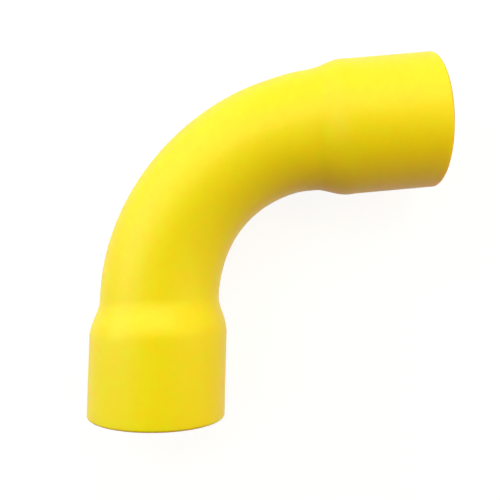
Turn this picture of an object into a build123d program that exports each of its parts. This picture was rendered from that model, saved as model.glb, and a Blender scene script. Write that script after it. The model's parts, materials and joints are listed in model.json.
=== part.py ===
from build123d import *
import os

# A one-piece bend for 60 mm cable tube: a plastic tube bent in one plane, with each end belled into a socket.
# Millimetres. The centreline lies in the XY plane, with +Z up.
# Socket A opens towards -Y, and from there the run turns towards +X.
# The origin is on socket A's axis, at the inner end of its straight bore.

# Tube
tube_diameter = 60.0        # outside, and also of the tubes that push into the sockets
wall = 4.3

# Bend
bend_radius = 89.0          # to the centreline
bend_angle = 83.5           # degrees that the run turns through

# Sockets
fit_clearance = 0.2         # on the radius, between a pushed-in tube and the bore
socket_depth_a = 40.0       # straight bore, measured from the mouth
socket_depth_b = 48.0
shoulder_length_a = 20.0    # from the end of the bore to the start of the bend
shoulder_length_b = 12.0
mouth_chamfer = 1.2         # on both edges of each mouth
chamfer_share = 0.45        # most of the wall that one chamfer may take

tube_radius = tube_diameter / 2
bore_radius = tube_radius + fit_clearance
socket_radius = bore_radius + wall

# The centreline, from mouth A to mouth B
arm_a = Line((0, -socket_depth_a), (0, shoulder_length_a))
arc = JernArc(arm_a @ 1, arm_a % 1, bend_radius, -bend_angle)
arm_b = PolarLine(arc @ 1, shoulder_length_b + socket_depth_b, direction=arc % 1)


def bent_tube():
    """The tube round the bend."""
    start = Plane(arc @ 0, z_dir=arc % 0)
    return sweep(start * (Circle(tube_radius) - Circle(tube_radius - wall)), arc)


def socket(depth, shoulder_length):
    """A socket and its shoulder, turned about Z, from the mouth at the origin up to the tube.

    The shoulder is an S of two equal arcs outside, and a cone inside that the pushed-in tube stops at.
    """
    top = depth + shoulder_length
    mid_shoulder = ((socket_radius + tube_radius) / 2, depth + shoulder_length / 2)
    side = Line((socket_radius, 0), (socket_radius, depth))
    crown = TangentArc(side @ 1, mid_shoulder, tangent=side % 1)
    hollow = TangentArc(mid_shoulder, (tube_radius, top), tangent=crown % 1)
    inside = Polyline(
        hollow @ 1, (tube_radius - wall, top), (bore_radius, depth), (bore_radius, 0), side @ 0
    )
    section = make_face([side, crown, hollow, inside])
    mouth_corners = section.vertices().group_by(Axis.Y)[0]
    section = chamfer(mouth_corners, min(mouth_chamfer, wall * chamfer_share))
    return revolve(Plane.XZ * section, Axis.Z)


mouth_a = Plane(arm_a @ 0, z_dir=arm_a % 0)
mouth_b = Plane(arm_b @ 1, z_dir=-(arm_b % 1))
raceway_bend = (
    bent_tube()
    + mouth_a * socket(socket_depth_a, shoulder_length_a)
    + mouth_b * socket(socket_depth_b, shoulder_length_b)
)

os.makedirs("parts", exist_ok=True)
export_step(raceway_bend, "parts/raceway_bend.step")
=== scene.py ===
import json
from math import acos, pi, radians, tan

import bpy
from mathutils import Euler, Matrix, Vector


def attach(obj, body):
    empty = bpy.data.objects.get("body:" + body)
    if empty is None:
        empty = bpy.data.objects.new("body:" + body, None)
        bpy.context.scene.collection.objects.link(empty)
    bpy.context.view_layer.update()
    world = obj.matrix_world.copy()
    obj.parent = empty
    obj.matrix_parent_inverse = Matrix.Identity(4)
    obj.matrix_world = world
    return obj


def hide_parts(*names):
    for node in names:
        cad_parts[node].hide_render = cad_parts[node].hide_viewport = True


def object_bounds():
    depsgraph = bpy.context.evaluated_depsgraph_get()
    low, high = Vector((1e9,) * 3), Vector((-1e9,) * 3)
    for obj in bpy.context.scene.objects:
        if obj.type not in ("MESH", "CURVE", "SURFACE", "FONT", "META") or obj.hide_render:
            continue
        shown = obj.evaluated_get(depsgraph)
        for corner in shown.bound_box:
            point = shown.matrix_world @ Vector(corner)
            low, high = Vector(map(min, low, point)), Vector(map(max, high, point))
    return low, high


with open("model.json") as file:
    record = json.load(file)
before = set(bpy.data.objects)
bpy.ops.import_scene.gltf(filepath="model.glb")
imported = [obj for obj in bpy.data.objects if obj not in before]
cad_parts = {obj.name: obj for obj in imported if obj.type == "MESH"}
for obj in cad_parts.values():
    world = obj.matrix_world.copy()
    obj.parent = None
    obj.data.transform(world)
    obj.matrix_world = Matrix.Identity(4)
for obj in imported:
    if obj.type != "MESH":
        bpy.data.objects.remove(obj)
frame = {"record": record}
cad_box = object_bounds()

# A yellow plastic tube bend with a belled socket at either end, lying flat on a white floor.
# Metres. Socket A opens towards -Y, and from there the run turns towards +X.

mm = 0.001

# Tube wall
wall = 4.3 * mm
fit_clearance = 0.2 * mm        # on the radius, between a pushed-in tube and a socket's bore
mouth_edge = 1.2 * mm           # rounding outside each mouth, and lead-in chamfer inside it
rubbed_width = 2.5 * mm         # how far handling marks reach from each mouth
painted_shade_fade = 0.24 * mm           # how far into the rim the painted shade on a mouth's rounding fades out

# Bend, as formed
bend_radius = 90.2 * mm         # to the centreline
bend_flattening = 1.25 * mm     # at mid-bend, off the radius in the bend's plane and onto it across
bell_depth_a = 41.5 * mm        # straight part of each bell, measured from its mouth
bell_depth_b = 45.0 * mm
shoulder_length = 18.5 * mm     # from a bell's size down to the tube's
shoulder_tilt_a = 1.6 * mm      # shoulder A lies deeper by this inside the bend, and less deep outside it
widening_b = 1.0 * mm           # beside shoulder B, onto the radius in the bend's plane and off it across
widening_reach = 21.0 * mm      # either way along the run
widening_inset = 3.0 * mm       # the widest place, from the shoulder's narrow end towards the mouth

# Mesh
steps_around = 192
steps_outside = 200
steps_inside = 140
steps_rounding = 6
sharp_from = radians(30.0)      # an edge that folds more than this shows as a crease
seam_gap = 0.01 * mm            # points closer than this are one point

# Plastic
deep_yellow = (0.91, 0.795, 0.004, 1.0)
pale_yellow = (0.93, 0.83, 0.006, 1.0)
rubbed_yellow = (0.94, 0.85, 0.11, 1.0)
# painted shade: a dark ochre laid on each mouth's outer rounding, where the edge turns away from the light
painted_shade_ochre = (0.38, 0.20, 0.02, 1.0)
least_roughness = 0.36
refraction = 1.5                # the plastic's index
gloss = 0.32                    # strength of its reflections, where 0.5 is what the index alone gives
light_reach = 4.0 * mm          # how far light goes into it
light_reach_shares = (1.0, 0.35, 0.05)       # of that reach, for red, green and blue
bump_depth = 0.3 * mm
bump_strength = 0.05

# Studio
white = (1.0, 1.0, 1.0, 1.0)
warm = (1.0, 0.86, 0.34, 1.0)
cream = (1.0, 0.47, 0.26, 1.0)
lamp_aim = Vector((0.05, 0.05, 0.0))
floor_reach = 3.0                            # from the middle to each side
floor_bounce = (0.45, 0.26, 0.09, 1.0)       # the floor's colour in the light that it throws back
floor_shade = (0.16, 0.16, 0.16, 1.0)        # its lit part to the eye, which carries the shadow
floor_glow = 0.9                             # its even part to the eye
wall_height = 0.10              # sine of the height angle up to which the surround is pale
wall_fade = 0.32                # more of that sine, over which it fades out
fill_low = 0.55                 # the surround's light on the piece, below the fade
fill_high = 0.05                # and above it
view_low = 0.93                 # the surround to the eye, below the fade
view_high = 0.04                # and above it

# Camera
camera_place = Vector((42.447, 32.432, 294.762)) * mm
camera_turn = (2.4518, -0.6663, 1.2924)      # degrees about X, Y and Z, from looking straight down
camera_lens = 41.1                           # millimetres, as the sensor's width
sensor_width = 36.0
nearest_seen = 10.0 * mm


class Term:
    """A node's socket that takes part in Python sums: each operator adds a Math node to its tree."""

    def __init__(self, graph, socket):
        self.graph = graph
        self.socket = socket

    def math(self, operation, *values):
        return self.graph.node("ShaderNodeMath", {"operation": operation}, dict(enumerate(values)))

    def __add__(self, other):
        return self.math("ADD", self, other)

    def __radd__(self, other):
        return self.math("ADD", other, self)

    def __sub__(self, other):
        return self.math("SUBTRACT", self, other)

    def __rsub__(self, other):
        return self.math("SUBTRACT", other, self)

    def __mul__(self, other):
        return self.math("MULTIPLY", self, other)

    def __rmul__(self, other):
        return self.math("MULTIPLY", other, self)

    def __truediv__(self, other):
        return self.math("DIVIDE", self, other)

    def __lt__(self, other):
        return self.math("LESS_THAN", self, other)

    def least(self, other):
        return self.math("MINIMUM", self, other)

    def most(self, other):
        return self.math("MAXIMUM", self, other)

    def positive(self):
        return self.math("ABSOLUTE", self)

    def sine(self):
        return self.math("SINE", self)

    def cosine(self):
        return self.math("COSINE", self)

    def share(self, start, length):
        """0 before a stretch that begins at a start, 1 after it, and even between."""
        return ((self - start) / length).most(0.0).least(1.0)

    def output(self, name):
        """Another output of the same node."""
        return Term(self.graph, self.socket.node.outputs[name])


class Graph:
    """A node tree, with one way to add a node to it."""

    def __init__(self, tree):
        self.tree = tree

    def node(self, kind, settings=None, sockets=None):
        """Adds a node, sets it up, fills or links its sockets, and gives its first output."""
        made = self.tree.nodes.new(kind)
        for name, value in (settings or {}).items():
            setattr(made, name, value)
        for name, value in (sockets or {}).items():
            for item in value if isinstance(value, list) else [value]:
                if isinstance(item, Term):
                    self.tree.links.new(item.socket, made.inputs[name])
                else:
                    made.inputs[name].default_value = item
        return Term(self, made.outputs[0]) if made.outputs else None


def material_graph(name):
    """A new material with an empty tree, and that tree's graph."""
    material = bpy.data.materials.new(name)
    material.use_nodes = True
    material.node_tree.nodes.clear()
    return material, Graph(material.node_tree)


def bend_sizes():
    """The wall tree's inputs by name: the layout from the record's two sockets, then the named sizes."""
    mounts = {mount["name"]: mount for mount in frame["record"]["mounts"]}
    bore_a, bore_b = mounts["socket_a"], mounts["socket_b"]
    axis_a, axis_b = Vector(bore_a["axis"]), Vector(bore_b["axis"])
    mouth_a, mouth_b = (
        Vector(bore["pos_m"]) + Vector(bore["axis"]) * (bore["dims"]["length_mm"] * mm + mouth_edge)
        for bore in (bore_a, bore_b)
    )
    turn = acos(-axis_a.dot(axis_b))
    mouth_b_to_corner = (mouth_b.x - mouth_a.x) / axis_b.x
    return {
        "Mouth A": mouth_a.y,
        "Turn": turn,
        "Arm": mouth_b_to_corner - bend_radius * tan(turn / 2),
        "Bore radius": bore_a["dims"]["r_mm"] * mm,
        "Fit clearance": fit_clearance,
        "Wall": wall,
        "Mouth edge": mouth_edge,
        "Rubbed width": rubbed_width,
        "Painted shade fade": painted_shade_fade,
        "Bend radius": bend_radius,
        "Flattening": bend_flattening,
        "Bell depth A": bell_depth_a,
        "Bell depth B": bell_depth_b,
        "Shoulder": shoulder_length,
        "Shoulder tilt A": shoulder_tilt_a,
        "Widening B": widening_b,
        "Widening reach": widening_reach,
        "Widening inset": widening_inset,
    }


def flat_skin(graph, size, run):
    """The wall's whole skin as flat patches.

    X is the distance from mouth A, Y the depth into the wall, and Z the share of a turn round the tube.
    """
    grid_size = 1.0
    place = graph.node("ShaderNodeSeparateXYZ", sockets={0: graph.node("GeometryNodeInputPosition")})
    along, round_share = (place.output(axis) + grid_size / 2 for axis in ("X", "Y"))
    quarter = along * (pi / 2)
    edge, thick = size["Mouth edge"], size["Wall"]

    def span(start, end):
        return start + (end - start) * along

    def patch(steps, distance, depth):
        grid = graph.node("GeometryNodeMeshGrid", sockets={
            "Size X": grid_size, "Size Y": grid_size,
            "Vertices X": steps + 1, "Vertices Y": steps_around + 1,
        })
        spot = graph.node("ShaderNodeCombineXYZ", sockets={"X": distance, "Y": depth, "Z": round_share})
        return graph.node("GeometryNodeSetPosition", sockets={"Geometry": grid, "Position": spot})

    outside = patch(steps_outside, span(edge, run - edge), 0.0)
    rounding_b = patch(steps_rounding, run - edge + edge * quarter.sine(), edge - edge * quarter.cosine())
    rim_b = patch(1, run, span(edge, thick - edge))
    lead_in_b = patch(1, span(run, run - edge), span(thick - edge, thick))
    inside = patch(steps_inside, span(run - edge, edge), thick)
    lead_in_a = patch(1, span(edge, 0.0), span(thick, thick - edge))
    rim_a = patch(1, 0.0, span(thick - edge, edge))
    rounding_a = patch(steps_rounding, edge - edge * quarter.cosine(), edge - edge * quarter.sine())
    patches = [outside, rounding_b, rim_b, lead_in_b, inside, lead_in_a, rim_a, rounding_a]
    return graph.node("GeometryNodeJoinGeometry", sockets={"Geometry": patches})


def wrapped_skin(graph, size, skin, arc, run):
    """The flat skin wrapped into the belled and bent tube, with marks on it that the plastic reads."""
    place = graph.node("ShaderNodeSeparateXYZ", sockets={0: graph.node("GeometryNodeInputPosition")})
    distance, depth, angle = place.output("X"), place.output("Y"), place.output("Z") * (2 * pi)

    def fade(length, start, reach):
        """1 up to a start and 0 from a reach beyond it, with a smooth fall between them."""
        return 0.5 + 0.5 * (pi * length.share(start, reach)).cosine()

    shoulder_a = size["Bell depth A"] + size["Shoulder tilt A"] * angle.cosine()
    belled = (
        fade(distance, shoulder_a, size["Shoulder"])
        + fade(run - distance, size["Bell depth B"], size["Shoulder"])
    )
    tube_radius = size["Bore radius"] - size["Fit clearance"]
    radius = tube_radius + (size["Wall"] + size["Fit clearance"]) * belled - depth

    round_bend = distance.share(size["Arm"], arc)
    swell = (pi * round_bend).sine()
    widest = run - size["Bell depth B"] - size["Shoulder"] + size["Widening inset"]
    widened = size["Widening B"] * fade((distance - widest).positive(), 0.0, size["Widening reach"])
    flattening = size["Flattening"] * swell * swell - widened
    in_plane = (radius - flattening) * angle.cosine()
    across = (radius + flattening) * angle.sine()

    heading = round_bend * size["Turn"]
    before_bend = (distance - size["Arm"]).least(0.0)
    past_bend = (distance - size["Arm"] - arc).most(0.0)
    x = (
        size["Bend radius"] * (1 - heading.cosine())
        + past_bend * heading.sine() + in_plane * heading.cosine()
    )
    y = (
        size["Mouth A"] + size["Arm"] + before_bend + size["Bend radius"] * heading.sine()
        + past_bend * heading.cosine() - in_plane * heading.sine()
    )
    bent = graph.node("ShaderNodeCombineXYZ", sockets={"X": x, "Y": y, "Z": across})

    straight = graph.node("ShaderNodeCombineXYZ", sockets={
        "X": radius * angle.cosine(), "Y": radius * angle.sine(), "Z": distance,
    })
    from_mouth = distance.least(run - distance)
    # The last mark is painted shade: 1 on each mouth's outer rounding, fading out into the rim.
    on_mouth = 1 - from_mouth.share(0.0, size["Mouth edge"])
    on_rounding = 1 - depth.share(size["Mouth edge"], size["Painted shade fade"])
    marks = {
        "straight_tube": ("FLOAT_VECTOR", straight),
        "inside": ("FLOAT", depth / size["Wall"]),
        "rubbed": ("FLOAT", 1 - from_mouth.share(0.0, size["Rubbed width"])),
        "painted_rim_shade": ("FLOAT", on_mouth.least(on_rounding)),
    }
    for name, (kind, value) in marks.items():
        skin = graph.node("GeometryNodeStoreNamedAttribute", {"data_type": kind, "domain": "POINT"}, {
            "Geometry": skin, "Name": name, "Value": value,
        })
    return graph.node("GeometryNodeSetPosition", sockets={"Geometry": skin, "Position": bent})


def wall_tree(sizes, plastic):
    """The tree that makes the wall: its flat skin, wrapped, closed along its seams and shaded."""
    tree = bpy.data.node_groups.new("bent_wall", "GeometryNodeTree")
    tree.interface.new_socket("Geometry", in_out="OUTPUT", socket_type="NodeSocketGeometry")
    for name in sizes:
        tree.interface.new_socket(name, in_out="INPUT", socket_type="NodeSocketFloat")
    graph = Graph(tree)
    entry = graph.node("NodeGroupInput")
    size = {name: entry.output(name) for name in sizes}

    arc = size["Bend radius"] * size["Turn"]
    run = 2 * size["Arm"] + arc
    wrapped = wrapped_skin(graph, size, flat_skin(graph, size, run), arc, run)
    closed = graph.node("GeometryNodeMergeByDistance", sockets={"Geometry": wrapped, "Distance": seam_gap})
    smooth = graph.node("GeometryNodeSetShadeSmooth", {"domain": "FACE"}, {0: closed, "Shade Smooth": True})
    fold = graph.node("GeometryNodeInputMeshEdgeAngle")
    creased = graph.node("GeometryNodeSetShadeSmooth", {"domain": "EDGE"}, {
        0: smooth, "Shade Smooth": fold < sharp_from,
    })
    real = graph.node("GeometryNodeRealizeInstances", sockets={"Geometry": creased})
    dressed = graph.node("GeometryNodeSetMaterial", sockets={"Geometry": real, "Material": plastic})
    graph.node("NodeGroupOutput", sockets={"Geometry": dressed})
    return tree


def bent_tube(plastic):
    """The whole piece: the wall as a plain mesh."""
    maker = bpy.data.objects.new("bend_maker", bpy.data.meshes.new("bend_maker"))
    bpy.context.scene.collection.objects.link(maker)
    sizes = bend_sizes()
    modifier = maker.modifiers.new("bent_wall", "NODES")
    modifier.node_group = wall_tree(sizes, plastic)
    for item in modifier.node_group.interface.items_tree:
        if item.in_out == "INPUT":
            modifier[item.identifier] = sizes[item.name]
    evaluated = maker.evaluated_get(bpy.context.evaluated_depsgraph_get())
    mesh = bpy.data.meshes.new_from_object(evaluated)
    mesh.name = "bent_tube"
    piece = bpy.data.objects.new("bent_tube", mesh)
    bpy.context.scene.collection.objects.link(piece)
    bpy.data.objects.remove(maker)
    return piece


def yellow_plastic():
    """Satin yellow plastic that lets in a little light, with drawn lines outside and rings inside, worn
    spots by the mouths, and painted shade on the mouths' roundings.
    """
    material, graph = material_graph("yellow_plastic")
    tube = graph.node("ShaderNodeAttribute", {"attribute_name": "straight_tube"}).output("Vector")
    inside, near_mouth, painted_rim_shade = (
        graph.node("ShaderNodeAttribute", {"attribute_name": name}).output("Fac")
        for name in ("inside", "rubbed", "painted_rim_shade")
    )

    def noise(scale, detail, stretch=(1.0, 1.0, 1.0)):
        spot = graph.node("ShaderNodeVectorMath", {"operation": "MULTIPLY"}, {0: tube, 1: stretch})
        return graph.node("ShaderNodeTexNoise", sockets={"Vector": spot, "Scale": scale, "Detail": detail})

    def blended(share, first, second):
        """Two colours mixed, with a share of the second one: 6, 7 and 2 are the node's colour sockets."""
        mix = graph.node("ShaderNodeMix", {"data_type": "RGBA"}, {"Factor": share, 6: first, 7: second})
        return mix.output(2)

    draw_lines = noise(scale=900.0, detail=3.0, stretch=(1.0, 1.0, 0.06))
    rings = noise(scale=900.0, detail=3.0, stretch=(0.03, 0.03, 1.0))
    clouds = noise(scale=28.0, detail=2.0)
    grain = noise(scale=2600.0, detail=1.0)
    worn_spots = noise(scale=420.0, detail=3.0).share(0.45, 0.3)
    rubbed = near_mouth * worn_spots
    formed = draw_lines + (rings - draw_lines) * inside

    even = blended(0.2 + 0.6 * clouds, deep_yellow, pale_yellow)
    handled = blended(0.3 * rubbed, even, rubbed_yellow)
    # Painted shade: each mouth's rounding turns dark ochre, patchy with the clouds.
    colour = blended(painted_rim_shade * (0.4 + 0.8 * clouds), handled, painted_shade_ochre)
    bump = graph.node("ShaderNodeBump", sockets={
        "Height": formed + 0.3 * grain, "Strength": bump_strength, "Distance": bump_depth,
    })
    shader = graph.node("ShaderNodeBsdfPrincipled", sockets={
        "Base Color": colour,
        "Roughness": least_roughness + 0.08 * clouds + 0.05 * formed + 0.15 * rubbed,
        "Normal": bump,
        "IOR": refraction,
        "Specular IOR Level": gloss,
        "Subsurface Weight": 1.0,
        "Subsurface Radius": light_reach_shares,
        "Subsurface Scale": light_reach,
    })
    graph.node("ShaderNodeOutputMaterial", sockets={"Surface": shader})
    return material


def seen(graph):
    """1 for rays that show a surface to the eye, straight or mirrored, and 0 for rays that light others."""
    rays = graph.node("ShaderNodeLightPath")
    straight, mirrored, through = (
        rays.output(f"Is {kind} Ray") for kind in ("Camera", "Glossy", "Transmission")
    )
    return straight.most(mirrored).most(through)


def white_floor():
    """White to the eye, apart from a faint shadow under the piece."""
    material, graph = material_graph("white_floor")
    matt = graph.node("ShaderNodeBsdfDiffuse", sockets={"Color": floor_bounce})
    shaded = graph.node("ShaderNodeBsdfDiffuse", sockets={"Color": floor_shade})
    glow = graph.node("ShaderNodeEmission", sockets={"Color": white, "Strength": floor_glow})
    bright = graph.node("ShaderNodeAddShader", sockets={0: shaded, 1: glow})
    mixed = graph.node("ShaderNodeMixShader", sockets={0: seen(graph), 1: matt, 2: bright})
    graph.node("ShaderNodeOutputMaterial", sockets={"Surface": mixed})
    return material


def floor(material):
    """A wide plane that the piece lies on."""
    level = cad_box[0][2]
    sides = ((-1, -1), (1, -1), (1, 1), (-1, 1))
    corners = [(x * floor_reach, y * floor_reach, level) for x, y in sides]
    mesh = bpy.data.meshes.new("floor")
    mesh.from_pydata(corners, [], [(0, 1, 2, 3)])
    mesh.materials.append(material)
    plane = bpy.data.objects.new("floor", mesh)
    bpy.context.scene.collection.objects.link(plane)
    return plane


def softbox(name, place, width, height, power, colour):
    """A flat rectangular lamp, turned to the middle of the piece."""
    lamp = bpy.data.lights.new(name, "AREA")
    lamp.shape = "RECTANGLE"
    lamp.size = width
    lamp.size_y = height
    lamp.energy = power
    lamp.color = colour[:3]
    holder = bpy.data.objects.new(name, lamp)
    holder.location = place
    holder.rotation_euler = (lamp_aim - Vector(place)).to_track_quat("-Z", "Y").to_euler()
    bpy.context.scene.collection.objects.link(holder)


def studio_light():
    """Three wide panels behind and above the piece, and a softbox at either side."""
    softbox("back_panel", (0.50, 0.95, 0.45), width=1.1, height=0.7, power=2.5, colour=white)
    softbox("corner_panel", (-0.75, 0.75, 0.45), width=1.2, height=0.8, power=6.3, colour=white)
    softbox("high_panel", (0.05, 0.62, 0.90), width=1.1, height=0.6, power=4.5, colour=white)
    softbox("left_softbox", (-0.85, 0.10, 0.60), width=0.6, height=1.0, power=4.2, colour=white)
    softbox("right_softbox", (0.95, 0.10, 0.60), width=0.6, height=1.0, power=6.8, colour=warm)


def room():
    """The surround, pale low down and dim above: white to the eye, and a warm fill on the piece."""
    world = bpy.data.worlds.new("room")
    world.use_nodes = True
    world.node_tree.nodes.clear()
    graph = Graph(world.node_tree)
    direction = graph.node("ShaderNodeTexCoord").output("Generated")
    rise = graph.node("ShaderNodeSeparateXYZ", sockets={0: direction}).output("Z")
    above_walls = rise.share(wall_height, wall_fade)

    def walls(colour, pale, dim):
        low, high = (
            graph.node("ShaderNodeBackground", sockets={"Color": colour, "Strength": strength})
            for strength in (pale, dim)
        )
        return graph.node("ShaderNodeMixShader", sockets={0: above_walls, 1: low, 2: high})

    fill = walls(cream, fill_low, fill_high)
    view = walls(white, view_low, view_high)
    mixed = graph.node("ShaderNodeMixShader", sockets={0: seen(graph), 1: fill, 2: view})
    graph.node("ShaderNodeOutputWorld", sockets={"Surface": mixed})
    bpy.context.scene.world = world


def camera():
    """The photograph's view: down on the piece, from about 0.3 metres above the bend's plane."""
    data = bpy.data.cameras.new("camera")
    data.sensor_width = sensor_width
    data.lens = camera_lens
    data.clip_start = nearest_seen
    holder = bpy.data.objects.new("camera", data)
    holder.location = camera_place
    holder.rotation_euler = Euler([radians(angle) for angle in camera_turn])
    bpy.context.scene.collection.objects.link(holder)
    bpy.context.scene.camera = holder


piece = bent_tube(yellow_plastic())
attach(piece, "root")
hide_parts("raceway_bend")

floor(white_floor())
studio_light()
room()
camera()

bpy.context.scene.view_settings.view_transform = "Standard"
